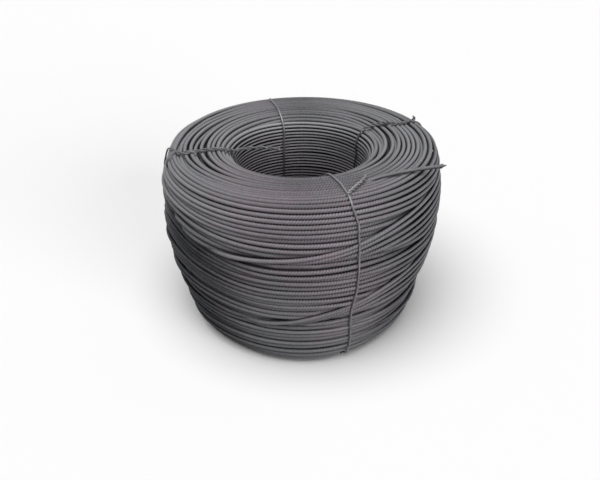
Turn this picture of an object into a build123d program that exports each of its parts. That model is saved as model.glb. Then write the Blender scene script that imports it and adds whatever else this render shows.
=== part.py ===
"""A coil of reinforcing bar bound by four wire ties.

Millimetres, +Z up.  The axis of the coil is the Z axis, the floor is z = 0 and the
front of the coil faces -Y.
"""
import math
import os

from build123d import *

# Bar stock
BAR_D = 6.0              # over the ribs
END_PITCH = 7.0          # spacing of the turns across the two ends
WALL_PITCH = 7.1         # looser spacing down the outer wall
GAP_DEPTH = 2.4          # how deep a gap between two turns is drawn
GAP_SPREAD = 1.06        # width of a gap in spacings, so that side by side they leave a ridge
WALL_GAP_EVERY = 4       # turns in one ridge drawn on the wall
FOOT_GAP_EVERY = 3       # turns between two gaps drawn on the bottom

# Wound package, a barrel that narrows toward the floor
HEIGHT = 290.0
EYE_R = 100.0            # open eye through the middle
LIP = 34.0               # rounding of the top turns into the eye
FOOT_LIP = 10.0          # slope of the bottom turns into the eye
TOP_R = 207.5            # outer wall carried up to the top plane
SHOULDER = 18.0          # rounding of the top edge
BELLY_R = 216.0          # widest turns
BELLY_TOP = 203.0
BELLY_LOW = 160.0
FOOT_R = 177.0           # outer wall carried down to the floor
FOOT = 14.0              # rounding of the bottom edge
EDGE_MID = 1 - math.sqrt(0.5)  # a rounded edge is two slopes, which meet on its arc

# Loose end of the bar, lying across the top turns and past the rim
TAIL_INSET = 18.5        # where it leaves the turns, in from the top edge
TAIL_PAST = 18.8         # reach of its cut tip past the rim
TAIL_ANGLES = (-49.5, -26.8)  # of those two places, from +X toward +Y
TAIL_SINK = 0.7          # how far the end rests into the ridges of the top turns

# Tie wire
TIE_D = 2.5
TIE_FLAT_COUNT = 8       # flats drawn round a wire
TIE_CLEAR = 0.3          # the wire lies this far off the turns
TIE_FLOOR = 0.4          # lowest side of the wire above the floor
TWIST_D = 4.4            # two strands twisted together
TWIST_TAIL = 74.0        # twisted tail that sticks out over the eye
TWIST_DROP = 4.0         # and how far it sags
TWIST_LIP = (75, 45)     # bends of a twisted run over the lip, in degrees from the eye
SPIKE = (8.0, 6.0)       # cut end at the rim: outward and upward
FRONT_TAIL = (-24.0, 36.0)  # twisted tail on the top: outward and sideways
BACK_TAIL = (26.0, -6.0)    # twisted tail on the wall: sideways and upward
TIE_ANGLE = {"front": -70.5, "right": 20.5, "back": 107.0, "left": 192.0}  # from +X toward +Y


def on_wall(z):
    """Radius of the outer wall at a height."""
    if z > BELLY_TOP:
        return TOP_R + (BELLY_R - TOP_R) * (HEIGHT - z) / (HEIGHT - BELLY_TOP)
    return FOOT_R + (BELLY_R - FOOT_R) * min(z / BELLY_LOW, 1)


def on_lip(turned, off=0):
    """Radius and height at an angle of the rounding into the eye, from the eye to the top."""
    reach = LIP + off
    around = math.radians(turned)
    return EYE_R + LIP - reach * math.cos(around), HEIGHT - LIP + reach * math.sin(around)


# Cross-section of the package, drawn with X as radius and Y as height
lip_corners = [on_lip(turned) for turned in (0, 45, 90)]
top_edge = TOP_R - SHOULDER
foot_edge = on_wall(FOOT) - FOOT
wall_corners = [
    (on_wall(HEIGHT - SHOULDER), HEIGHT - SHOULDER),
    (BELLY_R, BELLY_TOP),
    (BELLY_R, BELLY_LOW),
    (on_wall(FOOT), FOOT),
]
package = make_face(Polyline(
    (EYE_R, FOOT_LIP),
    *lip_corners,
    (top_edge, HEIGHT),
    (TOP_R - EDGE_MID * SHOULDER, HEIGHT - EDGE_MID * SHOULDER),
    *wall_corners,
    (on_wall(FOOT) - EDGE_MID * FOOT, EDGE_MID * FOOT),
    (foot_edge, 0),
    (EYE_R + FOOT_LIP, 0),
    close=True,
))


def gap(radius, height, turned, spacing):
    """The V between two ridges, at a point of the section and square to its skin."""
    wide = GAP_SPREAD * spacing
    v = Polygon((-wide, GAP_DEPTH), (wide, GAP_DEPTH), (0, -GAP_DEPTH), align=None)
    return Pos(radius, height) * Rot(0, 0, turned) * v


end = Polyline(*lip_corners[1:], (top_edge, HEIGHT))
wall = Polyline(*wall_corners)
gaps = []
for line, spacing in ((end, END_PITCH), (wall, WALL_GAP_EVERY * WALL_PITCH)):
    for i in range(1, int(line.length / spacing) + 1):
        at = line.position_at(i * spacing, PositionMode.LENGTH)
        turned = line.tangent_angle_at(i * spacing, PositionMode.LENGTH)
        gaps.append(gap(at.X, at.Y, turned, spacing))

foot_step = FOOT_GAP_EVERY * END_PITCH
foot_start = EYE_R + FOOT_LIP
foot_gaps = int((foot_edge - foot_start) / foot_step)
gaps += [gap(foot_start + i * foot_step, 0, 180, END_PITCH) for i in range(1, foot_gaps + 1)]

coil = revolve(Plane.XZ * (package - gaps), axis=Axis.Z)

# The weight of the coil beds each tie into the bottom turns
bed_wide = TIE_D + 2 * TIE_CLEAR
bed_high = TIE_FLOOR + TIE_D + TIE_CLEAR
bed = Box(BELLY_R, bed_wide, 2 * bed_high, align=(Align.MIN, Align.CENTER, Align.CENTER))
coil -= [Rot(0, 0, angle) * bed for angle in TIE_ANGLE.values()]

# The loose end belongs to the same bar as the turns
tail_z = HEIGHT + BAR_D / 2 - TAIL_SINK
tail_leaves = Vector(top_edge - TAIL_INSET, 0, tail_z).rotate(Axis.Z, TAIL_ANGLES[0])
tail_tip = Vector(TOP_R + TAIL_PAST, 0, tail_z).rotate(Axis.Z, TAIL_ANGLES[1])
tail = Line(tail_leaves, tail_tip)
coil += sweep(Plane(tail @ 0, z_dir=tail % 0) * Circle(BAR_D / 2), path=tail)

# One loop of tie wire: up the eye, over the top, down the wall and under the bottom
over_bed = Pos(0, bed_high) * Rectangle(3 * BELLY_R, 3 * HEIGHT, align=(Align.CENTER, Align.MIN))
loop = offset(package & over_bed, TIE_CLEAR + TIE_D / 2, kind=Kind.INTERSECTION).wire()


def strand(path, across):
    """Wire bent along straight runs, with even flats round it."""
    start = Plane(path @ 0, x_dir=(0, 1, 0), z_dir=path % 0)
    flats = RegularPolygon(across / 2, TIE_FLAT_COUNT, major_radius=False)
    return sweep(start * flats, path=path, transition=Transition.RIGHT)


# Twisted runs of the ties, each through points of radius, sideways and height
lift = TIE_CLEAR + TWIST_D / 2
on_top = HEIGHT + lift
beside = BELLY_R + lift
half_bend = math.radians(TWIST_LIP[0] - TWIST_LIP[1]) / 2
lip_lift = (LIP + lift) / math.cos(half_bend) - LIP
(high_r, high_z), (low_r, low_z) = [on_lip(turned, lip_lift) for turned in TWIST_LIP]
back_z = (BELLY_TOP + BELLY_LOW) / 2
twists = {
    "front": [
        (top_edge, 0, on_top),
        (top_edge + FRONT_TAIL[0], FRONT_TAIL[1], on_top),
    ],
    "right": [
        (high_r, 0, high_z),
        (top_edge, 0, on_top),
        (top_edge + SPIKE[0], 0, on_top + SPIKE[1]),
    ],
    "back": [
        (beside, 0, back_z),
        (beside, BACK_TAIL[0], back_z + BACK_TAIL[1]),
    ],
    "left": [
        (top_edge, 0, on_top),
        (high_r, 0, high_z),
        (low_r, 0, low_z),
        (low_r - TWIST_TAIL, 0, low_z - TWIST_DROP),
    ],
}
wire = strand(Plane.XZ * loop, TIE_D)
ties = {}
for name, angle in TIE_ANGLE.items():
    ties[name] = Rot(0, 0, angle) * (wire + strand(Polyline(*twists[name]), TWIST_D))

os.makedirs("parts", exist_ok=True)
export_step(coil, "parts/rebar_coil.step")
for name, tie in ties.items():
    export_step(tie, f"parts/tie_wire_{name}.step")
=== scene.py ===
"""A coil of ribbed reinforcing bar, standing on its end and bound by four wire ties.

Metres, +Z up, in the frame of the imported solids.  The front of the coil faces -Y.  The sizes of the
coil are written in millimetres, and its azimuths in degrees from +X toward +Y.
"""
import math
from types import SimpleNamespace

import bpy
import numpy as np
from mathutils import Matrix


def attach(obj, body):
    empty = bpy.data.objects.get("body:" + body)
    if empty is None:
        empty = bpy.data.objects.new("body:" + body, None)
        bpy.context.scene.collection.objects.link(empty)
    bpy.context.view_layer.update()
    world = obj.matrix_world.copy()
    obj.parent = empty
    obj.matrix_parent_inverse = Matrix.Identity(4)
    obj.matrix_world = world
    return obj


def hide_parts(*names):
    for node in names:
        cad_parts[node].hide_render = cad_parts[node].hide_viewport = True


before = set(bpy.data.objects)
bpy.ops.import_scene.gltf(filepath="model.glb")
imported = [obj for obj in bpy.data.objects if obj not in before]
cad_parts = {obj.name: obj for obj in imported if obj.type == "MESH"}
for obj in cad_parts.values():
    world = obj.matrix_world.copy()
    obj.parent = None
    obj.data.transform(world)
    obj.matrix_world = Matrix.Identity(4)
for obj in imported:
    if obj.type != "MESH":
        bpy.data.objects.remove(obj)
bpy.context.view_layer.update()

# The lay of the turns.  One length of hot-rolled bar, 6 mm over its ribs, is laid turn beside turn
# into a barrel: up the eye, out over the top, down the wall and in under the bottom.
# Every turn wanders a little, so the skin has tight runs, open gaps and bars that pass under others.
BAR_R = 3.0
TURN_STEPS = 144            # places at which one turn is laid
EYE_PITCH, TOP_PITCH, WALL_PITCH, FOOT_PITCH = 5.3, 6.4, 6.9, 6.6
LIP_R, LIP_Z = 106, 262     # the eye lies inside this radius, and rounds into the top at this height
TOP_R, TOP_Z = 202, 276     # the top lies inside this radius, and is level above this height
WALL_R, RIM_Z = 165, 286    # the wall lies outside this radius and below this height
FOOT_Z = 8                  # the bottom lies below this height
WIDEST_GAP = 4.0
DIVE = 5.0                  # how deep a turn lies that passes under its neighbours
SETTLE_ROUNDS = 40
SKIN_LINE = [  # middle of the skin bars, as radius and height
    (103, 6), (103, 150), (103, 250), (105, 268), (112, 278), (122, 284.7), (134, 287), (160, 287),
    (180, 287), (192, 286.5), (200.5, 282), (204, 274), (207, 262), (210.4, 237), (212.8, 203),
    (212.6, 165), (203, 118), (192, 75), (183.5, 39), (178, 18), (172, 6), (163, 3.2), (140, 3.2),
    (112, 3.2),
]
rng = np.random.default_rng(11)


def rounded(points, times=3):
    """Cuts the corners of a line of points until it is smooth."""
    line = np.array(points, float)
    for _ in range(times):
        early = 0.75 * line[:-1] + 0.25 * line[1:]
        late = 0.25 * line[:-1] + 0.75 * line[1:]
        line = np.vstack([line[:1], np.stack([early, late], 1).reshape(-1, line.shape[1]), line[-1:]])
    return line


def lengths(line):
    """How far each point lies along its line."""
    return np.r_[0, np.cumsum(np.linalg.norm(np.diff(line, axis=0), axis=1))]


def evenly(line, spacing):
    """The same line with points at an even distance."""
    ahead = lengths(line)
    at = np.linspace(0, ahead[-1], max(2, int(ahead[-1] / spacing) + 1))
    return np.stack([np.interp(at, ahead, column) for column in line.T], 1)


def ramp(value, start, width):
    """From 0 at a start to 1 a width past it, which runs down where the width is negative."""
    return np.clip((value - start) / width, 0, 1)


def ease(value, start=0.0, width=1.0):
    """The same ramp with soft ends."""
    x = ramp(value, start, width)
    return x * x * (3 - 2 * x)


def hump(value, middle, reach):
    """1 at a middle, fading on both sides of it."""
    return np.exp(-((value - middle) / reach) ** 2)


def near(az, middle, reach):
    """The same hump at an azimuth of the coil."""
    return hump((az - middle + 180) % 360 - 180, 0, reach)


skin = evenly(rounded(SKIN_LINE), 1.0)
skin_s = lengths(skin)
skin_run = np.gradient(skin, axis=0)
skin_run /= np.linalg.norm(skin_run, axis=1)[:, None]
skin_out = np.stack([-skin_run[:, 1], skin_run[:, 0]], 1)
skin_r, skin_z = skin.T
on_eye = (skin_r < LIP_R) & (skin_z > FOOT_Z)
on_top = (skin_z > LIP_Z) & (skin_r < TOP_R) & ~on_eye
pitch = np.select([on_eye, on_top, skin_z < FOOT_Z], [EYE_PITCH, TOP_PITCH, FOOT_PITCH], WALL_PITCH)
skin_turn = np.r_[0, np.cumsum(np.diff(skin_s) / pitch[1:])]
wall = np.flatnonzero((skin_r > WALL_R) & (skin_z < RIM_Z))
rim_s = skin_s[wall[0]]
lip_turn = skin_turn[np.argmax(skin_z > LIP_Z)]
rim_turn = skin_turn[wall[0]]
foot_turn = skin_turn[wall[-1]]
turns = int(skin_turn[-1]) - 1

step = np.arange(turns * TURN_STEPS)
turn = step / TURN_STEPS
around = 2 * math.pi * turn - math.pi
degrees = np.degrees(around) % 360
sideways = np.abs(np.cos(around)) ** 1.5
at_s = np.interp(turn, skin_turn, skin_s)
at_r = np.interp(at_s, skin_s, skin_r)
at_z = np.interp(at_s, skin_s, skin_z)
eye_part = ramp(at_r, 108, -4) * ramp(at_z, 0, 20)
top_part = ramp(at_r, LIP_R, 10) * ramp(at_z, TOP_Z, 6)
wall_part = ramp(at_r, 170, 8) * ramp(at_z, RIM_Z, -6) * ramp(at_z, 0, 12)
low_part = wall_part * ramp(at_z, 225, -60)
heel_part = wall_part * ramp(at_z, 70, -25)
dive = np.zeros(len(step))


def pass_under(level, start, end, slope):
    """Lets the turn nearest a level run under its neighbours between two azimuths."""
    whole = round(level - ((start + end) / 2 + 180) / 360)
    first = (whole + (start + 180) / 360) * TURN_STEPS
    last = (whole + (end + 180) / 360) * TURN_STEPS
    slope = slope / 360 * TURN_STEPS
    down = ease((step - first) / slope + 0.5)
    up = ease((last - step) / slope + 0.5)
    np.maximum(dive, np.minimum(up, down), out=dive)


def drift(every):
    """A smooth random run along the bar, of about unit size, that turns every so many steps."""
    knots = rng.standard_normal(len(step) // every + 4)
    run = np.interp(np.arange(len(step) + 2 * every), np.arange(len(knots)) * every, knots)
    window = np.hanning(every + 2)
    run = np.convolve(run, window / window.sum(), "same")[every:every + len(step)]
    return run / run.std()


# Some turns pass under others on the two sides of the top and all over the wall, three of them low
# on the front, and on the right of the wall every third one.
for level in np.arange(lip_turn + 4, rim_turn - 0.5, 1):
    for side in (0, 180):
        if rng.random() < 0.22:
            middle = side + rng.uniform(-14, 14)
            half = rng.uniform(30, 55)
            pass_under(level, middle - half, middle + half, slope=40)
for level in np.arange(rim_turn + 7, foot_turn - 2, 1):
    if rng.random() < 0.3:
        start = rng.uniform(-180, 180)
        pass_under(level, start, start + rng.uniform(40, 150), slope=rng.uniform(25, 50))
for level, end in ((8.2, -45), (5.4, -70), (3.1, -60)):
    pass_under(foot_turn - level, end - 100, end, slope=30)
for level in np.arange(rim_turn + 6, foot_turn - 2, 3):
    pass_under(level, 10 * math.sin(2.1 * level) - 60, 75 + 15 * math.sin(1.3 * level), slope=30)

# Each turn lies beside the one before it with a gap that drifts along the bar.  A few marked turns
# hold their places along the skin, and the turns between them share what room is left.
gap_run = drift(52) + 0.5 * drift(20)
gap = 0.2 + 0.2 * top_part + 0.25 * wall_part + 0.2 * low_part + eye_part * sideways
gap += 0.5 * wall_part * near(degrees, -15, 45)
gap *= np.exp(1.15 * gap_run)
next_dive = np.r_[dive[TURN_STEPS:], np.zeros(TURN_STEPS)]
spacing = 2 * BAR_R * (1 - 0.42 * (dive + next_dive)) + np.minimum(gap, WIDEST_GAP - 2.2 * heel_part)
spacing = spacing.reshape(turns, TURN_STEPS)
part_turn = np.arange(TURN_STEPS) / TURN_STEPS
lay = np.vstack([np.zeros(TURN_STEPS), np.cumsum(spacing, axis=0)[:-1]]) + spacing[0, 0] * part_turn
marks = [0, *np.linspace(lip_turn, rim_turn, 3), *np.linspace(rim_turn, foot_turn, 6)[1:], turns - 1]
marks = np.round(marks).astype(int)
for k in range(TURN_STEPS):
    lay[:, k] = np.interp(lay[:, k], lay[marks, k], marks + part_turn[k])
lay_s = np.interp(lay.reshape(-1), skin_turn, skin_s)
depth = drift(30) * (0.2 + 0.5 * top_part * sideways + 0.95 * wall_part + 0.15 * low_part)
depth *= 1 - 0.8 * heel_part
depth -= DIVE * dive

# On the left the turns of the middle run high and crowd one another into two layers.
crowd_z = np.interp(lay_s, skin_s, skin_z)
crowd = near(degrees, 195, 32) * wall_part
lay_s -= 22 * crowd * hump(crowd_z, 195, 50)
depth += crowd * hump(crowd_z, 222, 32) * (2.2 * np.cos(math.pi * (turn - 0.042)) - 2.0)

# Lower down the turns lie in bundles of two to four, each of which slopes in like a shelf.
shelf = np.zeros(turns + 2)
level = int(rim_turn) + 6
while level < turns:
    bundle = rng.integers(2, 5)
    shelf[level:level + bundle] = np.linspace(1, -1, bundle)[:len(shelf[level:level + bundle])]
    level += bundle
whole = turn.astype(int)
stepped = shelf[whole] + (shelf[whole + 1] - shelf[whole]) * ease(turn - whole, 0.82, 0.18)
depth += stepped * low_part * (0.5 + 1.9 * sideways)

# Last, turns that overlap push one another apart, and the bar's own stiffness smooths them.
room = 2 * BAR_R - 0.8 * eye_part
for _ in range(SETTLE_ROUNDS):
    for lag in (TURN_STEPS, 2 * TURN_STEPS):
        beside = lay_s[lag:] - lay_s[:-lag]
        above = depth[lag:] - depth[:-lag]
        apart = np.hypot(beside, above) + 1e-6
        push = np.clip(room[lag:] - apart, 0, None) * 0.3 / apart
        lay_s[lag:] += 0.6 * push * beside
        lay_s[:-lag] -= 0.6 * push * beside
        depth[lag:] += push * above
        depth[:-lag] -= push * above
    for run in (depth, lay_s):
        run[1:-1] += 0.2 * (run[2:] + run[:-2] - 2 * run[1:-1])

# The pocket and the dents.  On the left of the front, below the tight upper turns, loose ones have
# sunk in, and a coil that has been lifted and set down is dented and bulges.
POCKET_TOP = [(-178, 240), (-151, 234), (-143, 214), (-134, 206), (-119, 205), (-100, 200)]
POCKET_DEPTH = 6.0
DENTS = [  # azimuth and its reach, height and its reach, and how far the turns stand out
    (-5, 45, 115, 75, -3.6), (-20, 40, 50, 50, -3.5), (-172, 24, 222, 40, 1.5),
    (-177, 20, 128, 32, 5.0), (-128, 30, 8, 26, -5.5), (-48, 30, 6, 26, -6.0), (8, 24, 276, 14, 2.0),
    (70, 30, 90, 50, -4.0), (140, 35, 230, 40, 2.0), (179, 14, 262, 38, -4.5),
]
pocket_az, pocket_z = np.array(POCKET_TOP).T


def wall_place(z):
    """Where a height lies along the skin, on the wall."""
    return np.interp(z, skin_z[wall][::-1], skin_s[wall][::-1])


def in_pocket(az, s):
    """How far into the pocket a place is, from 0 to 1."""
    az = (az + 180) % 360 - 180
    below = s - wall_place(np.interp(az, pocket_az, pocket_z))
    return ease(below, 0, 10) * ease(below, 185, -120) * ease(az, -180, 32) * ease(az, -100, -34)


def out_of_round(az, s):
    """How far the turns stand out of the even barrel at a place."""
    z = np.interp(s, skin_s, skin_z)
    out = -POCKET_DEPTH * in_pocket(az, s)
    for dent_az, az_reach, dent_z, z_reach, high in DENTS:
        out += high * near(az, dent_az, az_reach) * hump(z, dent_z, z_reach)
    return out


# Crossing turns.  On the wall some turns were laid askew: they climb over the level turns in small
# bundles, press them in and come up from under them one after the other.
CROSSING_PITCH = 6.5
CROSSING_PRESS = 4.6
CROSSING_RISE = 22          # degrees in which a bar comes up or goes down
CROSSING_LEAD = 16          # and how far it is drawn past the middle of these
# A bundle has the course of its upper bar, the azimuths where each bar comes up and goes down, how
# smooth the upper bar is rubbed and how far the bars fan out.
CROSSINGS = [
    {
        "course": [
            (-150, 195), (-128, 201), (-110, 204), (-92, 210), (-75, 219), (-63, 229), (-51, 238),
            (-35, 246), (-10, 252), (30, 250), (75, 240), (110, 232),
        ],
        "bars": [(-128, 62), (-93, 74), (-79, 84), (-68, 70), (-56, 90), (-45, 80)],
        "smooth": 0.2,
        "fan": 3.6,
    },
    {
        "course": [
            (-150, 80), (-130, 84), (-112, 88), (-98, 95), (-90, 102), (-82, 110), (-71, 120),
            (-63, 128), (-55, 137), (-42, 146), (-22, 153), (10, 156), (50, 150),
        ],
        "bars": [(-116, 20), (-94, 32), (-80, 12), (-66, 30)],
        "smooth": 0.6,
        "fan": 6.5,
    },
    {
        "course": [(60, 110), (90, 118), (120, 136), (150, 158), (180, 172), (215, 178)],
        "bars": [(66, 176), (84, 180), (100, 172)],
        "smooth": 0.2,
        "fan": 3.6,
    },
    {
        "course": [(130, 222), (160, 214), (190, 196), (215, 176), (245, 165)],
        "bars": [(136, 186), (144, 178), (150, 184), (156, 176)],
        "smooth": 0.2,
        "fan": 3.6,
    },
    {
        "course": [(150, 70), (180, 78), (205, 96), (225, 112), (248, 118)],
        "bars": [(140, 184), (150, 178)],
        "smooth": 0.5,
        "fan": 3.6,
    },
    {
        "course": [(0, 60), (30, 66), (60, 84), (95, 96), (130, 98)],
        "bars": [(8, 120), (26, 110)],
        "smooth": 0.2,
        "fan": 3.6,
    },
]
depth += out_of_round(degrees, lay_s) * (turn > rim_turn - 2)
press = np.zeros(len(step))
crossing_bars = []
for crossing in CROSSINGS:
    course_az, course_z = evenly(rounded(crossing["course"]), 1.0).T
    for number, (rises, sinks) in enumerate(crossing["bars"]):
        az = np.arange(rises - CROSSING_LEAD, sinks + CROSSING_LEAD, 2.0)
        apart = CROSSING_PITCH + crossing["fan"] * ease(az, -80, 50)
        s = wall_place(np.interp(az, course_az, course_z)) + number * apart
        s += 0.5 * np.sin(az / 17 + 2 * number)
        shown = ease(az, rises - CROSSING_RISE / 2, CROSSING_RISE)
        shown *= ease(az, sinks + CROSSING_RISE / 2, -CROSSING_RISE)
        high = 1.0 + 0.6 * np.sin(az / 23 + number) - 8 * (1 - shown) + out_of_round(az, s)
        crossing_bars.append((np.radians(az), s, high, crossing["smooth"] if number == 0 else 0.0))
        for whole_turn in (-360, 0, 360):
            off = lay_s - np.interp(degrees + whole_turn, az, s)
            weight = np.interp(degrees + whole_turn, az, shown, left=0, right=0)
            np.maximum(press, weight * ease(np.abs(off), 9.5, -7), out=press)
depth -= CROSSING_PRESS * press * np.clip(wall_part * 2, 0, 1)
buried = np.maximum(press, dive) * wall_part

# The beds of the ties.  The four wires run under the bottom, so the turns there ride up over them.
TIE_AZ = {"front": -70.5, "right": 20.5, "back": 107.0, "left": 192.0}
BED_REACH = math.degrees(12 / 150)  # 12 mm to each side, at the middle of the bottom
BED_RISE = 3.0


def underneath(z):
    """How far a height is under the coil, from 0 to 1."""
    return ease(z, 16, -10)


rise = np.max([near(degrees, az, BED_REACH) for az in TIE_AZ.values()], axis=0)
lay_z = np.interp(lay_s, skin_s, skin_z)
depth -= BED_RISE * rise * underneath(lay_z) * (turn > rim_turn)

# The ribbed bar itself, in the order in which it shows: the eye, the top, three bands of the wall
# and the bottom, then the crossing turns.  Its ribs are rolled in as slanted rings and fade where
# the two halves of the roll pass meet, so some stretches look smooth.  Mill scale covers it, and
# light and shade are painted into its colour.
MM = 0.001
RIB_PITCH = 4.2
RIB_CREST, RIB_ROOT, RIB_SLANT = 3.3, 2.55, 2.1
BAR_SIDES = 8
FAR_BAR_SIDES = 6           # for the bars down the eye and underneath
EYE_EDGE_R = 112            # the bar begins to wear as in the eye inside this radius
PAST_LIP_R = 110            # and as on the outside past this one
ROLL_LENGTH = 240           # the bar turns on itself over about this length
BAKE_STRIP = 620            # rings in one row of the UV layout


def in_space(angle, s, d, lowest=RIB_CREST + 0.05):
    """Points at an angle, a place along the skin and a height off it, and the way out of the skin."""
    out_r = np.interp(s, skin_s, skin_out[:, 0])
    out_z = np.interp(s, skin_s, skin_out[:, 1])
    r = np.interp(s, skin_s, skin_r) + d * out_r
    z = np.maximum(np.interp(s, skin_s, skin_z) + d * out_z, lowest)
    middle = np.stack([r * np.cos(angle), r * np.sin(angle), z], 1)
    out = np.stack([out_r * np.cos(angle), out_r * np.sin(angle), out_z], 1)
    return middle, out


def directions(middle, out):
    """Unit directions ahead along a line, out of it and beside it."""
    ahead = np.gradient(middle, axis=0)
    ahead /= np.linalg.norm(ahead, axis=1)[:, None]
    out = out - (out * ahead).sum(1)[:, None] * ahead
    out /= np.linalg.norm(out, axis=1)[:, None]
    return ahead, out, np.cross(ahead, out)


def round_angles(sides):
    """Even angles round a bar, from its outer side."""
    return 2 * math.pi * np.arange(sides) / sides


def rings(middle, out, radius, slant=0.0):
    """Rings of points round a line, with one row of radii for each point of the line."""
    ahead, out, beside = directions(middle, out)
    turned = round_angles(radius.shape[1])[None, :, None]
    across = np.cos(turned) * out[:, None] + np.sin(turned) * beside[:, None]
    return middle[:, None] + radius[:, :, None] * across - slant * np.sin(turned) * ahead[:, None]


def skinned(name, tubes):
    """One mesh of several tubes, each given as rings and how light each point is painted, for wear
    and for light and shade.
    """
    verts, quads, wear_and_shading, places = [], [], [], []
    count = 0
    used = 0
    strips = sum(len(ring) // BAKE_STRIP + 1 for ring, _ in tubes)
    for ring, rubbed_and_shaded in tubes:
        n, sides = ring.shape[:2]
        i = np.arange(n - 1)[:, None]
        j = np.arange(sides)[None, :]
        k = (j + 1) % sides
        row = i * sides + count
        corners = [row + j, row + k, row + sides + k, row + sides + j]
        quads.append(np.stack(corners, 2).reshape(-1, 4))
        verts.append(ring.reshape(-1, 3))
        wear_and_shading.append(np.broadcast_to(rubbed_and_shaded, (n, sides)).ravel())
        u = (i % BAKE_STRIP) / BAKE_STRIP + 0 * j
        v = (i // BAKE_STRIP + used + j / sides) / strips
        far, wide = 1 / BAKE_STRIP, 1 / sides / strips
        corners = [(u, v), (u, v + wide), (u + far, v + wide), (u + far, v)]
        places.append(np.stack([np.stack(corner, 2) for corner in corners], 2).reshape(-1, 2))
        count += n * sides
        used += n // BAKE_STRIP + 1
    quads = np.vstack(quads)
    mesh = bpy.data.meshes.new(name)
    mesh.vertices.add(count)
    mesh.vertices.foreach_set("co", (np.vstack(verts) * MM).ravel())
    mesh.loops.add(quads.size)
    mesh.loops.foreach_set("vertex_index", quads.ravel())
    mesh.polygons.add(len(quads))
    mesh.polygons.foreach_set("loop_start", np.arange(0, quads.size, 4))
    mesh.polygons.foreach_set("use_smooth", np.ones(len(quads), bool))
    mesh.update()
    mesh.attributes.new("wear_and_shading", "FLOAT", "POINT").data.foreach_set("value", np.concatenate(wear_and_shading))
    mesh.uv_layers.new(name="OFBake").uv.foreach_set("vector", np.vstack(places).ravel())
    piece = bpy.data.objects.new(name, mesh)
    bpy.context.collection.objects.link(piece)
    return piece


def regions(x, y, z, s):
    """How far points of the bar are in each part of the coil that lies in its own way and gets its
    own wear and its own painted light and shade.
    """
    r = np.hypot(x, y)
    az = np.degrees(np.arctan2(y, x))
    on_wall = r > WALL_R
    outside = r > PAST_LIP_R
    on = SimpleNamespace()
    on.eye = ramp(r, EYE_EDGE_R, -6)
    on.eye_mouth = on.eye * ramp(z, 165, 75)
    on.eye_left = on.eye * near(az, 170, 40)
    on.top = ramp(z, TOP_Z, 8) * (1 - on.eye)
    on.flanks = np.abs(x / r) ** 1.5
    on.front = near(az, -78, 32) * outside * (0.45 + 0.55 * ease(z, 70, 60))
    on.front_low = near(az, -80, 40) * outside * ease(z, 240, -160)
    on.back = (y > 0) * outside
    on.wall = on_wall * ease(z, 282, -30)
    on.left = on_wall * ease(az % 360, 135, 35) * ease(az % 360, 256, -36)
    on.right = on_wall * ease(az, -70, 32) * ease(az, 150, -60) * ease(z, RIM_Z, -12)
    on.right_low = on.right * ease(z, 150, -80)
    on.tight = on_wall * near(az, -108, 24) * ease(z, 185, 30)
    # The lower left of the wall is painted dark as shade, a little darker further down, and so is the
    # pocket.
    left_low = on.left * ease(z, 205, -50) * (0.95 + 0.1 * ease(z, 110, -60))
    on.sunk = np.maximum(in_pocket(az, s), left_low) * (r > 150)
    on.loose = np.clip(on.right + 0.8 * on.sunk + on.eye + 0.3 * on.flanks * (z > 280), 0, 1)
    return on


def rub_and_shade(on, z, turned, crest, smooth, buried):
    """How light the scale's colour is painted: lightest on the crests and outer sides, with painted
    shade between and under the turns and painted light where the light falls.
    """
    # Painted shade: each turn darkens round its sides towards the gaps between turns, less on the
    # front and where turns lie tight, more steeply in the eye, on the left, on the right and where
    # turns lie loose.
    edge = np.minimum(0.8 + 0.15 * on.front + 0.2 * on.tight, 1)
    edge = edge - 0.45 * on.loose - 0.35 * on.eye - 0.3 * on.right
    fall = 1 + 1.5 * on.eye + 2.5 * on.eye_left + 1.3 * on.left * ease(z, 282, -20)
    fall = fall + 0.3 * on.right + 1.2 * on.right_low
    lit_round_the_bar = np.clip(edge + (1 - edge) * np.cos(turned), 0, 1) ** fall
    # Painted light on the upper side of each turn of the wall and painted shade on its lower side,
    # less on the front.
    lit_round_the_bar = lit_round_the_bar * (1 - 0.4 * on.wall * (1 - 0.9 * on.front) * np.sin(turned))
    # A little darker on the top, and lighter on the crossing bar that is rubbed smooth.
    worn_and_lit = 0.8 - 0.19 * on.top + 0.2 * smooth
    # Painted highlight on the rib crests and painted shade at their roots on the front, and a little
    # painted light low on the front.
    worn_and_lit = worn_and_lit + (0.8 * crest - 0.33) * on.front * (1 - 0.5 * on.top) + 0.1 * on.front_low
    # Painted light at the mouth of the eye and on its left side, and painted shade down the eye.
    worn_and_lit = worn_and_lit + 1.75 * on.eye_mouth - 0.18 * on.eye + 1.1 * on.eye_left
    # Painted light on the two flanks of the upper wall and the top, less on the right.
    worn_and_lit = worn_and_lit + (0.6 + 0.2 * on.top) * on.flanks * ramp(z, 215, 40) * (1 - 0.8 * on.right)
    # Painted light on the right of the wall and painted shade low on it.
    worn_and_lit = worn_and_lit + 0.22 * on.right - 0.24 * on.right_low
    # Painted shade in the pocket and low on the left, with a painted highlight along each turn's
    # upper side.
    worn_and_lit = worn_and_lit * np.clip(1 - on.sunk * (0.86 + 0.75 * np.sin(turned)), 0.05, 1)
    # Painted shade on turns that lie under the crossing turns and on turns that pass under their
    # neighbours.
    worn_and_lit = worn_and_lit * (1 - (0.45 + 0.35 * on.right) * buried)
    return lit_round_the_bar * worn_and_lit


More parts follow.
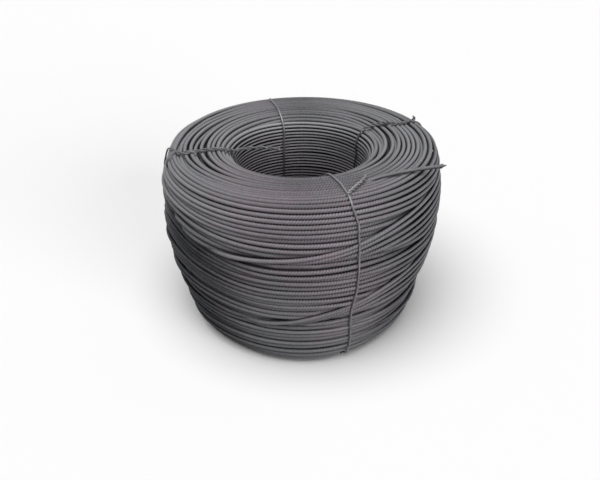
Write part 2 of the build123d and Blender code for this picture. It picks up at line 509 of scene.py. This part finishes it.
def ribbed(angle, s, d, sides, smooth=0.0, buried=0.0):
    """Rings of the ribbed bar along a run of the lay, and how light its points are painted, for wear
    and for light and shade.
    """
    far = lengths(in_space(angle, s, d)[0])
    at = np.arange(0, far[-1], RIB_PITCH / 2)
    runs = (angle, s, d, np.broadcast_to(buried, far.shape))
    angle, s, d, buried = (np.interp(at, far, run) for run in runs)
    middle, out = in_space(angle, s, d)
    stations = np.arange(0, at[-1] + 2 * ROLL_LENGTH + 20, ROLL_LENGTH)
    roll = np.interp(at, stations, rng.uniform(-1.6, 1.6, len(stations)))[:, None]
    tone = np.interp(at, stations, rng.uniform(-0.12, 0.12, len(stations)))[:, None]
    x, y, z = (middle[:, k:k + 1] for k in range(3))
    on = regions(x, y, z, s[:, None])
    turned = round_angles(sides)
    height = np.abs(np.cos(turned - roll)) ** 0.6
    height = (height + (1 - height) * 0.7 * on.front) * (0.35 + 0.65 * np.maximum(on.front, on.back))
    crest = (np.arange(len(at)) % 2 == 0)[:, None] * height
    crest = crest + (0.5 - crest) * smooth
    thick = 1 - 0.1 * on.loose + 0.06 * on.right - 0.17 * on.eye - 0.1 * on.eye_left + 0.05 * on.tight
    radius = (RIB_ROOT + (RIB_CREST - RIB_ROOT) * (crest + 0.55 * (1 - height))) * thick
    rubbed_and_shaded = rub_and_shade(on, z, turned, crest, smooth, buried[:, None]) + tone
    return rings(middle, out, radius, RIB_SLANT), np.clip(rubbed_and_shaded, 0, 1.7)


class Shade:
    """One socket of a material's nodes, so that its values are written as sums and products."""

    def __init__(self, tree, socket=None):
        self.tree = tree
        self.socket = socket

    def node(self, kind, settings, sockets, out=0):
        """A node of any kind: its settings first, then the values or links of its sockets."""
        made = self.tree.nodes.new(kind)
        for key, value in settings.items():
            setattr(made, key, value)
        for key, value in sockets.items():
            if isinstance(value, Shade):
                self.tree.links.new(value.socket, made.inputs[key])
            else:
                made.inputs[key].default_value = value
        return Shade(self.tree, made.outputs[out])

    def maths(self, operation, first, second):
        """One operation on two values."""
        return self.node("ShaderNodeMath", {"operation": operation}, {0: first, 1: second})

    def __add__(self, other):
        return self.maths("ADD", self, other)

    def __radd__(self, other):
        return self.maths("ADD", other, self)

    def __sub__(self, other):
        return self.maths("SUBTRACT", self, other)

    def __rsub__(self, other):
        return self.maths("SUBTRACT", other, self)

    def __mul__(self, other):
        return self.maths("MULTIPLY", self, other)

    def __rmul__(self, other):
        return self.maths("MULTIPLY", other, self)

    def held(self):
        """The value kept between 0 and 1."""
        return self.node("ShaderNodeClamp", {}, {"Value": self})

    def between(self, low, high):
        """From the first colour to the second as the value goes from 0 to 1."""
        return self.node("ShaderNodeMix", {"data_type": "RGBA"}, {0: self, 6: low, 7: high}, 2)

    def spot(self):
        """The place on the piece."""
        return self.node("ShaderNodeTexCoord", {}, {}, "Object")

    def noise(self, scale, detail):
        """Cloudy noise at a place, of a scale per metre."""
        sockets = {"Vector": self, "Scale": scale, "Detail": detail}
        return self.node("ShaderNodeTexNoise", {}, sockets, "Fac")

    def distance(self, point):
        """How far a place is from a point."""
        settings = {"operation": "DISTANCE"}
        return self.node("ShaderNodeVectorMath", settings, {0: self, 1: point}, "Value")

    def wear_and_shading(self):
        """How light the point is painted, for wear and for light and shade, from the mesh."""
        return self.node("ShaderNodeAttribute", {"attribute_name": "wear_and_shading"}, {}, "Fac")

    def bump(self, strength, distance):
        """The value as a fine relief."""
        sockets = {"Strength": strength, "Distance": distance, "Height": self}
        return self.node("ShaderNodeBump", {}, sockets, "Normal")

    def to(self, shader, key):
        """Links the value into a socket of a shader."""
        self.tree.links.new(self.socket, shader.inputs[key])


def new_finish(name):
    """A material with its surface shader and a start for its nodes."""
    finish = bpy.data.materials.new(name)
    finish.use_nodes = True
    return finish, finish.node_tree.nodes["Principled BSDF"], Shade(finish.node_tree)


# The dark colours stand for unrubbed scale and for painted shade, the light ones for rubbed scale and
# for painted light.
DARK_SCALE_AND_SHADE, DARK_RUST_AND_SHADE = (0.014, 0.014, 0.019, 1), (0.022, 0.015, 0.019, 1)
RUBBED_AND_LIT_SCALE, RUBBED_AND_LIT_RUST = (0.345, 0.347, 0.36, 1), (0.36, 0.311, 0.344, 1)
RUST_ON_FRONT, RUST_IN_EYE = (0.01, -0.21, 0.22), (0, 0.06, 0.12)  # middles of the reddish patches
mill_scale, surface, start = new_finish("mill_scale")
spot = start.spot()
wear_and_shading = start.wear_and_shading()
cloud = spot.noise(scale=7.0, detail=3.0)
grain = spot.noise(scale=340.0, detail=4.0)
fleck = spot.noise(scale=90.0, detail=5.0)
off_front = spot.distance(RUST_ON_FRONT)
off_eye = spot.distance(RUST_IN_EYE)
patch = (1.15 - 5.5 * off_front).held() * 0.6 + (1.7 - 10 * off_eye).held()
tinge = (patch + 2.2 * (cloud - 0.5) + 1.6 * (fleck - 0.52)).held()
# From dark to light by wear and by painted light and shade from the mesh, with grain and cloud.
rubbed_and_shaded = (wear_and_shading * 0.62 + 0.4 * (grain - 0.5) + 0.3 * (cloud - 0.5)).held()
dark = tinge.between(DARK_SCALE_AND_SHADE, DARK_RUST_AND_SHADE)
grey = tinge.between(RUBBED_AND_LIT_SCALE, RUBBED_AND_LIT_RUST)
rubbed_and_shaded.between(dark, grey).to(surface, "Base Color")
(0.62 - 0.16 * wear_and_shading + 0.2 * (grain - 0.5)).to(surface, "Roughness")
grain.bump(strength=0.25, distance=0.0004).to(surface, "Normal")
surface.inputs["Metallic"].default_value = 0.06
surface.inputs["Specular IOR Level"].default_value = 0.12


def belongs(piece, finish, node):
    """Finishes a piece and lets it stand for its solid."""
    piece.data.materials.append(finish)
    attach(piece, "root")
    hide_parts(node)


def bar_piece(name, tubes):
    """A named piece of the wound bar."""
    belongs(skinned(name, tubes), mill_scale, "rebar_coil")


def stretch(first, last, sides, cuts):
    """The ribbed bar between two turns of the lay, cut into named lengths at some turns."""
    part = slice(int(first * TURN_STEPS), int(last * TURN_STEPS) + 1)
    run = around[part], lay_s[part], depth[part]
    ring, rubbed_and_shaded = ribbed(*run, sides, buried=buried[part])
    far = lengths(in_space(*run)[0])
    start = 0
    for name, cut in cuts.items():
        end = int(far[int(cut * TURN_STEPS) - part.start] / (RIB_PITCH / 2)) + 1
        bar_piece(name, [(ring[start:end + 1], rubbed_and_shaded[start:end + 1])])
        start = end


third = (foot_turn - rim_turn) / 3
stretch(0, lip_turn, FAR_BAR_SIDES, {"rebar_eye": lip_turn})
stretch(lip_turn, foot_turn, BAR_SIDES, {
    "rebar_top": rim_turn,
    "rebar_wall_high": rim_turn + third,
    "rebar_wall_middle": rim_turn + 2 * third,
    "rebar_wall_low": foot_turn,
})
stretch(foot_turn, turns, FAR_BAR_SIDES, {"rebar_bottom": turns - 0.01})
crossing_tubes = [ribbed(az, s, d, BAR_SIDES, smooth) for az, s, d, smooth in crossing_bars]
bar_piece("rebar_crossing_turns", crossing_tubes)

# The turns behind the skin, which only show through its gaps: a plain second layer of the same bar
# and the closed pack inside it, both painted dark as shade, the pack darkest.
INNER_STEPS = 72
INNER_R = 2.9
INNER_SIDES = 5
INNER_DOWN, PACK_DOWN = 8.5, 8.8
PACK_ROWS, PACK_COLUMNS = 60, 97


def behind(az, s, down):
    """Points that lie a way down behind the skin and follow its bulges."""
    return in_space(np.radians(az), s, np.maximum(out_of_round(az, s), 0) - down)


inner = np.arange(int(lip_turn * INNER_STEPS), turns * INNER_STEPS) / INNER_STEPS
inner_s = np.interp(inner + 0.5, skin_turn, skin_s)
inner_radius = np.full((len(inner), INNER_SIDES), INNER_R)
inner_rings = rings(*behind(360 * inner, inner_s, INNER_DOWN), inner_radius)
pack_s = np.linspace(0, skin_s[-1], PACK_ROWS)
pack_az = np.linspace(0, 360, PACK_COLUMNS)
pack = np.array([behind(np.full(PACK_ROWS, az), pack_s, PACK_DOWN)[0] for az in pack_az])
# Painted shade: the second layer at 0.3 and the pack at 0, the darkest colour.
bar_piece("rebar_inner_turns", [(inner_rings, 0.3), (pack, 0.0)])

# The loose end of the bar.  It comes up between two top turns, lies straight across the outer ones
# and reaches past the rim, where shears squeezed it out flat and cut it to a point.
LOOSE_END = [
    (-60, -148, 281), (-20, -158, 282), (20, -160, 283), (55, -151, 285), (84, -140, 287.5),
    (111, -130.5, 291.5), (135, -123, 293.2), (164, -113.5, 293.2), (179, -109, 293),
    (195, -104.5, 292.6), (202, -102, 292.2),
]
POINT_LENGTH = 7.0
loose = evenly(rounded(LOOSE_END), RIB_PITCH / 2)
to_tip = lengths(loose)[-1] - lengths(loose)
turned = round_angles(BAR_SIDES)
crest = (np.arange(len(loose)) % 2 == 0)[:, None] * np.abs(np.cos(turned - 0.5)) ** 0.6
tall = np.clip(1.45 * to_tip / POINT_LENGTH, 0.1, 1 + 0.45 * hump(to_tip, POINT_LENGTH, 2))[:, None]
flat = np.clip(0.35 + to_tip / 12, 0, 1)[:, None]
radius = RIB_ROOT + (RIB_CREST - RIB_ROOT) * crest
radius = radius * np.hypot(tall * np.cos(turned), flat * np.sin(turned))
loose_rings = rings(loose, np.tile([0.0, 0.0, 1.0], (len(loose), 1)), radius, RIB_SLANT)
# Painted shade round the sides and underside of the loose end, and a painted highlight on its rib
# crests.
loose_shading = np.clip(0.42 + 0.58 * np.cos(turned), 0, 1) * (0.8 + 0.4 * crest)
bar_piece("rebar_loose_end", [(loose_rings, loose_shading)])

# The front tie.  Soft annealed wire, about 2.5 mm thick, drawn tight round the section of the coil
# and twisted shut on the top, where its twisted tail lies across the outer turns.
WIRE_R = 1.35
WIRE_SIDES = 8
WIRE_SHINE = 0.42
FRONT_TIE = [  # radius, height and azimuth along the wire, up the eye and down the wall
    (103, 150, -71), (103, 275, -72), (131, 287, -71.8), (157, 287, -70.9), (178, 287, -71.2),
    (202, 281, -71.6), (209, 254, -69.6), (212, 154, -69.6), (202, 114, -71), (186, 34, -68.5),
    (150, 3.2, -70),
]
FRONT_TAIL = [
    (59, -180, 291), (63.8, -177, 293.2), (70.6, -164.6, 293.3), (77.3, -154.6, 293.3),
    (82.7, -145.8, 293.5), (88.3, -135.4, 294.6),
]
EYE_FOOT = [  # radius and height of the bend from the bottom into the eye, and its way out
    (106, 1.5, -0.3, -0.9), (101, 2.4, -0.8, -0.5),
]
AWAY, DEEP = -999, -9       # a place along the skin with no bar, and a height below every bar
lay_grid = lay_s.reshape(turns, TURN_STEPS)
depth_grid = depth.reshape(turns, TURN_STEPS)


def smoothed(values, width):
    """A running mean that keeps the ends."""
    window = np.hanning(width + 2)
    padded = np.pad(values, width, mode="edge")
    return np.convolve(padded, window / window.sum(), "same")[width:-width]


def crest_over(off, d):
    """Height of the skin where a bar passes at a distance."""
    high = d + np.sqrt(np.maximum(RIB_CREST ** 2 - off ** 2, 0))
    return np.where(np.abs(off) < RIB_CREST, high, DEEP)


def drawn_round(stations):
    """A closed line drawn tight over the turns, and the way out of the skin along it."""
    r, z, az = np.array(stations).T
    at = [skin_s[np.argmin(np.hypot(skin_r - a, skin_z - b))] for a, b in zip(r, z)]
    az = smoothed(np.interp(skin_s, at, az), 15)
    column = np.round((az + 180) / 360 * TURN_STEPS).astype(int) % TURN_STEPS
    high = crest_over(skin_s[:, None] - lay_grid[:, column].T, depth_grid[:, column].T).max(1)
    for bar_angle, bar_s, bar_d, _ in crossing_bars:
        for whole_turn in (-360, 0, 360):
            angle = np.radians(az + whole_turn)
            off = skin_s - np.interp(angle, bar_angle, bar_s, AWAY, AWAY)
            high = np.maximum(high, crest_over(off, np.interp(angle, bar_angle, bar_d)))
    taut = smoothed(np.max([np.roll(high, by) for by in range(-10, 11)], axis=0), 21)
    under = underneath(skin_z) * (skin_s > rim_s)
    low = 1.6 + out_of_round(az, skin_s) * (skin_z > 4)
    d = (taut + WIRE_R - 0.1 - 1.4 * hump(skin_s, rim_s, 16)) * (1 - under) + low * under
    middle, out = in_space(np.radians(az), skin_s, d, WIRE_R + 0.15)
    radial = np.array([math.cos(math.radians(az[0])), math.sin(math.radians(az[0]))])
    bend = [(*(r * radial), z) for r, z, _, _ in EYE_FOOT]
    bend_out = [(*(r * radial), z) for _, _, r, z in EYE_FOOT]
    return np.vstack([middle, bend, middle[:1]]), np.vstack([out, bend_out, out[:1]])


def strand(middle, out, shine=WIRE_SHINE):
    """One wire along a line, closed at both ends, where it was cut bright."""
    ring = rings(middle, out, np.full((len(middle), WIRE_SIDES), WIRE_R))
    ring = np.concatenate([ring[:1], ring, ring[-1:]])
    ring[0] = ring[0].mean(0)
    ring[-1] = ring[-1].mean(0)
    x, y, z = (ring[:, :1, k] for k in range(3))
    # Painted shade on the wire down the eye and painted light on it across the top; the cut ends are
    # bright.
    down_eye = ease(np.hypot(x, y), EYE_EDGE_R, -6) * ease(z, 275, -50) * (z < 272)
    rubbed_and_shaded = shine * (1 - 0.85 * down_eye) * (1 + 0.9 * ease(z, TOP_Z, 10))
    rubbed_and_shaded[:2] = 1
    rubbed_and_shaded[-2:] = 1
    return ring, rubbed_and_shaded


def pair(middle, out, twist, shine=WIRE_SHINE):
    """Two wires twisted round one another along a line, with a length for one full twist."""
    _, out, beside = directions(middle, out)
    wind = 2 * math.pi * lengths(middle)[:, None] / twist
    both = []
    for phase in (0, math.pi):
        off = np.cos(wind + phase) * out + np.sin(wind + phase) * beside
        both.append(strand(middle + 1.05 * WIRE_R * off, off, shine))
    return both


def tail(points, twist, out=(0, 0, 1), shine=WIRE_SHINE):
    """A twisted tail through points."""
    line = evenly(rounded(points), 1.0)
    return pair(line, np.tile(np.array(out, float), (len(line), 1)), twist, shine)


DULL_WIRE, BRIGHT_WIRE = (0.055, 0.053, 0.058, 1), (0.42, 0.42, 0.435, 1)
annealed, surface, start = new_finish("annealed_wire")
spot = start.spot()
wear_and_shading = start.wear_and_shading()
grain = spot.noise(scale=260.0, detail=4.0)
fleck = spot.noise(scale=60.0, detail=4.0)
rubbed_and_shaded = (wear_and_shading + 0.7 * (grain - 0.5) + 0.7 * (fleck - 0.5)).held()
rubbed_and_shaded.between(DULL_WIRE, BRIGHT_WIRE).to(surface, "Base Color")
(0.5 - 0.1 * wear_and_shading + 0.2 * (grain - 0.5)).to(surface, "Roughness")
grain.bump(strength=0.2, distance=0.0002).to(surface, "Normal")
surface.inputs["Metallic"].default_value = 0.2


def tie_piece(side, tubes):
    """The tie on one side of the coil."""
    belongs(skinned(side + "_tie", tubes), annealed, "tie_wire_" + side)


middle, out = drawn_round(FRONT_TIE)
tie_piece("front", [strand(middle[::2], out[::2])] + tail(FRONT_TAIL, twist=16, shine=0.3))

# The right tie.  Its two strands are twisted into a rope all across the top; one end was bent up at
# the rim and cut to a short spike.
RIGHT_TIE = [
    (103, 150, 31), (103, 227, 29), (103, 244, 26.1), (103, 253, 28.3), (105, 270, 28.7),
    (114, 280, 27), (119, 284, 27.4), (126, 286, 25), (137, 287, 22.8), (151, 287, 20.4),
    (167.5, 287, 19.8), (177, 287, 19.4), (187, 287, 20.5), (203, 277, 20.5), (212, 180, 20.5),
    (180, 20, 20.5), (150, 3.2, 20.5),
]
RIGHT_SPIKE = [(172, 65, 291), (179, 68.5, 291.5), (182, 70, 294), (180.5, 70, 298.5)]
RIGHT_SHINE = 0.15


def across_top(middle, outer):
    """Where a tie's line crosses the top inside a radius, and every other point of the rest of it."""
    radius = np.hypot(middle[:, 0], middle[:, 1])
    roped = np.flatnonzero((middle[:, 2] > 280) & (radius > PAST_LIP_R) & (radius < outer))
    single = np.r_[np.arange(roped[-1], len(middle)), np.arange(roped[0] + 1)]
    return roped, single[::2]


middle, out = drawn_round(RIGHT_TIE)
roped, single = across_top(middle, outer=190)
right = [strand(middle[single], out[single], RIGHT_SHINE)]
right += pair(middle[roped] + out[roped], out[roped], twist=15, shine=RIGHT_SHINE)
right += tail(RIGHT_SPIKE, twist=14, out=(0.3, 0.9, 0), shine=RIGHT_SHINE)
tie_piece("right", right)

# The back tie, a single wire over the top and down the eye, twisted shut on the back of the wall.
# Its tail lies flat against the turns.
BACK_TIE = [
    (103, 150, 107.8), (103, 223, 106.9), (103, 262, 106), (106, 274, 106), (112, 280, 106.2),
    (121, 285, 106.4), (139, 287, 105.9), (162, 287, 106), (182, 287, 106.4), (192, 286.5, 105.6),
    (203, 277, 105), (212, 180, 107), (180, 20, 107), (150, 3.2, 107),
]
BACK_TAIL = [  # sideways, height and radius
    (0, 184, 216.5), (2, 183, 219.5), (10, 180, 220.3), (20, 177, 219.5), (27, 174, 219),
]
middle, out = drawn_round(BACK_TIE)
back_angle = math.radians(TIE_AZ["back"])
back_out = np.array([math.cos(back_angle), math.sin(back_angle)])
back_beside = np.array([-back_out[1], back_out[0]])
back_tail = [(*(r * back_out + y * back_beside), z) for y, z, r in BACK_TAIL]
tie_piece("back", [strand(middle[::2], out[::2])] + tail(back_tail, twist=11, out=(*back_out, 0)))

# The left tie.  Two strands come over the rim and meet in a knot, run as a rope across the top and
# end in a long twisted tail that sticks out over the eye.
LEFT_TIE = [
    (103, 150, 192), (103, 250, 188), (104, 262, 186), (106, 271, 185.6), (111, 279, 189),
    (117, 284, 192), (126, 286, 193.9), (139, 287, 194.6), (153, 287, 194.5), (168, 287, 194.6),
    (182, 287, 194.2), (188, 287, 190.6), (192, 286.5, 186), (199, 283, 182.7), (204, 274, 179),
    (207, 262, 177.5), (210.4, 237, 177), (212, 180, 178), (180, 20, 185), (150, 3.2, 192),
]
LEFT_LEG = [
    (-179, -40, 291.8), (-184.5, -37, 292.4), (-189.3, -45.2, 290.3), (-193.8, -51.2, 287.5),
    (-197, -54, 282), (-197.5, -54.5, 276), (-193, -53, 269), (-186, -51, 265),
]
LEFT_TAIL = [
    (-118, -28, 290.5), (-110.6, -23.6, 286.5), (-105, -18, 283), (-98, -13, 281), (-91, -7, 280),
    (-86, -3, 279.5), (-72, -1, 279.5), (-55, 1, 279.5), (-44, -4, 279), (-32.8, -7, 278.5),
]
LEFT_SHINE = 0.17
middle, out = drawn_round(LEFT_TIE)
roped, single = across_top(middle, outer=188)
leg = evenly(rounded(LEFT_LEG), 2.0)
left = [strand(middle[single], out[single], LEFT_SHINE)]
left += [strand(leg, np.tile([-0.4, 0.0, 0.9], (len(leg), 1)), LEFT_SHINE)]
left += pair(middle[roped] + 0.8 * out[roped], out[roped], twist=26, shine=LEFT_SHINE)
left += tail(LEFT_TAIL, twist=34, shine=0.2)
tie_piece("left", left)

# Floor, light and camera: a pale sheet under soft light from above, seen from the front and above.
# The sheet is white to the camera and in reflections, and sends little light back up at the coil.
FLOOR_HALF = 8
floor_mesh = bpy.data.meshes.new("floor")
floor_corners = [(FLOOR_HALF * x, FLOOR_HALF * y, 0) for x, y in ((-1, -1), (1, -1), (1, 1), (-1, 1))]
floor_mesh.from_pydata(floor_corners, [], [(0, 1, 2, 3)])
floor = bpy.data.objects.new("floor", floor_mesh)
bpy.context.collection.objects.link(floor)
pale, surface, start = new_finish("pale_floor")
surface.inputs["Base Color"].default_value = (0.06, 0.06, 0.06, 1)
surface.inputs["Roughness"].default_value = 0.9
dim = Shade(pale.node_tree, surface.outputs[0])
white = start.node("ShaderNodeBsdfDiffuse", {}, {"Color": (0.97, 0.97, 0.97, 1)})
seen = start.node("ShaderNodeLightPath", {}, {}, "Is Camera Ray")
for kind in ("Is Glossy Ray", "Is Transmission Ray"):
    seen = seen + start.node("ShaderNodeLightPath", {}, {}, kind)
either = start.node("ShaderNodeMixShader", {}, {0: seen.held(), 1: dim, 2: white})
either.to(pale.node_tree.nodes["Material Output"], "Surface")
floor_mesh.materials.append(pale)


def stands(thing, beside, upright, back, place=(0, 0, 0)):
    """Puts a lamp or a camera at a place, turned by its three directions."""
    stand = np.eye(4)
    stand[:3] = np.column_stack([beside, upright, back, place])
    thing.matrix_world = Matrix(stand.tolist())
    bpy.context.collection.objects.link(thing)


def soft_sun(name, strength, spread, toward):
    """A distant soft lamp, from a direction."""
    data = bpy.data.lights.new(name, "SUN")
    data.energy = strength
    data.angle = math.radians(spread)
    back = np.array(toward) / np.linalg.norm(toward)
    beside = np.cross([0.02, 1, 0], back)
    beside /= np.linalg.norm(beside)
    stands(bpy.data.objects.new(name, data), beside, np.cross(back, beside), back)


soft_sun("overhead", strength=2.6, spread=55, toward=(-0.12, -0.25, 0.96))
soft_sun("front_fill", strength=1.65, spread=40, toward=(0.6, -0.76, 0.27))

world = bpy.data.worlds.new("sky")
world.use_nodes = True
world.node_tree.nodes["Background"].inputs["Color"].default_value = (1, 1, 1, 1)
world.node_tree.nodes["Background"].inputs["Strength"].default_value = 0.08
bpy.context.scene.world = world
bpy.context.scene.view_settings.view_transform = "Standard"

CAMERA_AWAY, CAMERA_UP, CAMERA_ROLL = 1.188, math.radians(29.79), math.radians(0.92)
CAMERA_AIM = np.array([0, 0, 0.145])
ahead = np.array([0, math.cos(CAMERA_UP), -math.sin(CAMERA_UP)])
level = np.array([1.0, 0, 0])
upright = np.array([0, math.sin(CAMERA_UP), math.cos(CAMERA_UP)])
camera_data = bpy.data.cameras.new("camera")
camera_data.lens = 44.05
camera_data.sensor_width = 36
camera_data.shift_x = -0.0037
camera_data.shift_y = -0.0282
camera = bpy.data.objects.new("camera", camera_data)
roll_cos, roll_sin = math.cos(CAMERA_ROLL), math.sin(CAMERA_ROLL)
stands(
    camera, roll_cos * level - roll_sin * upright, roll_sin * level + roll_cos * upright, -ahead,
    CAMERA_AIM - ahead * CAMERA_AWAY,
)
bpy.context.scene.camera = camera
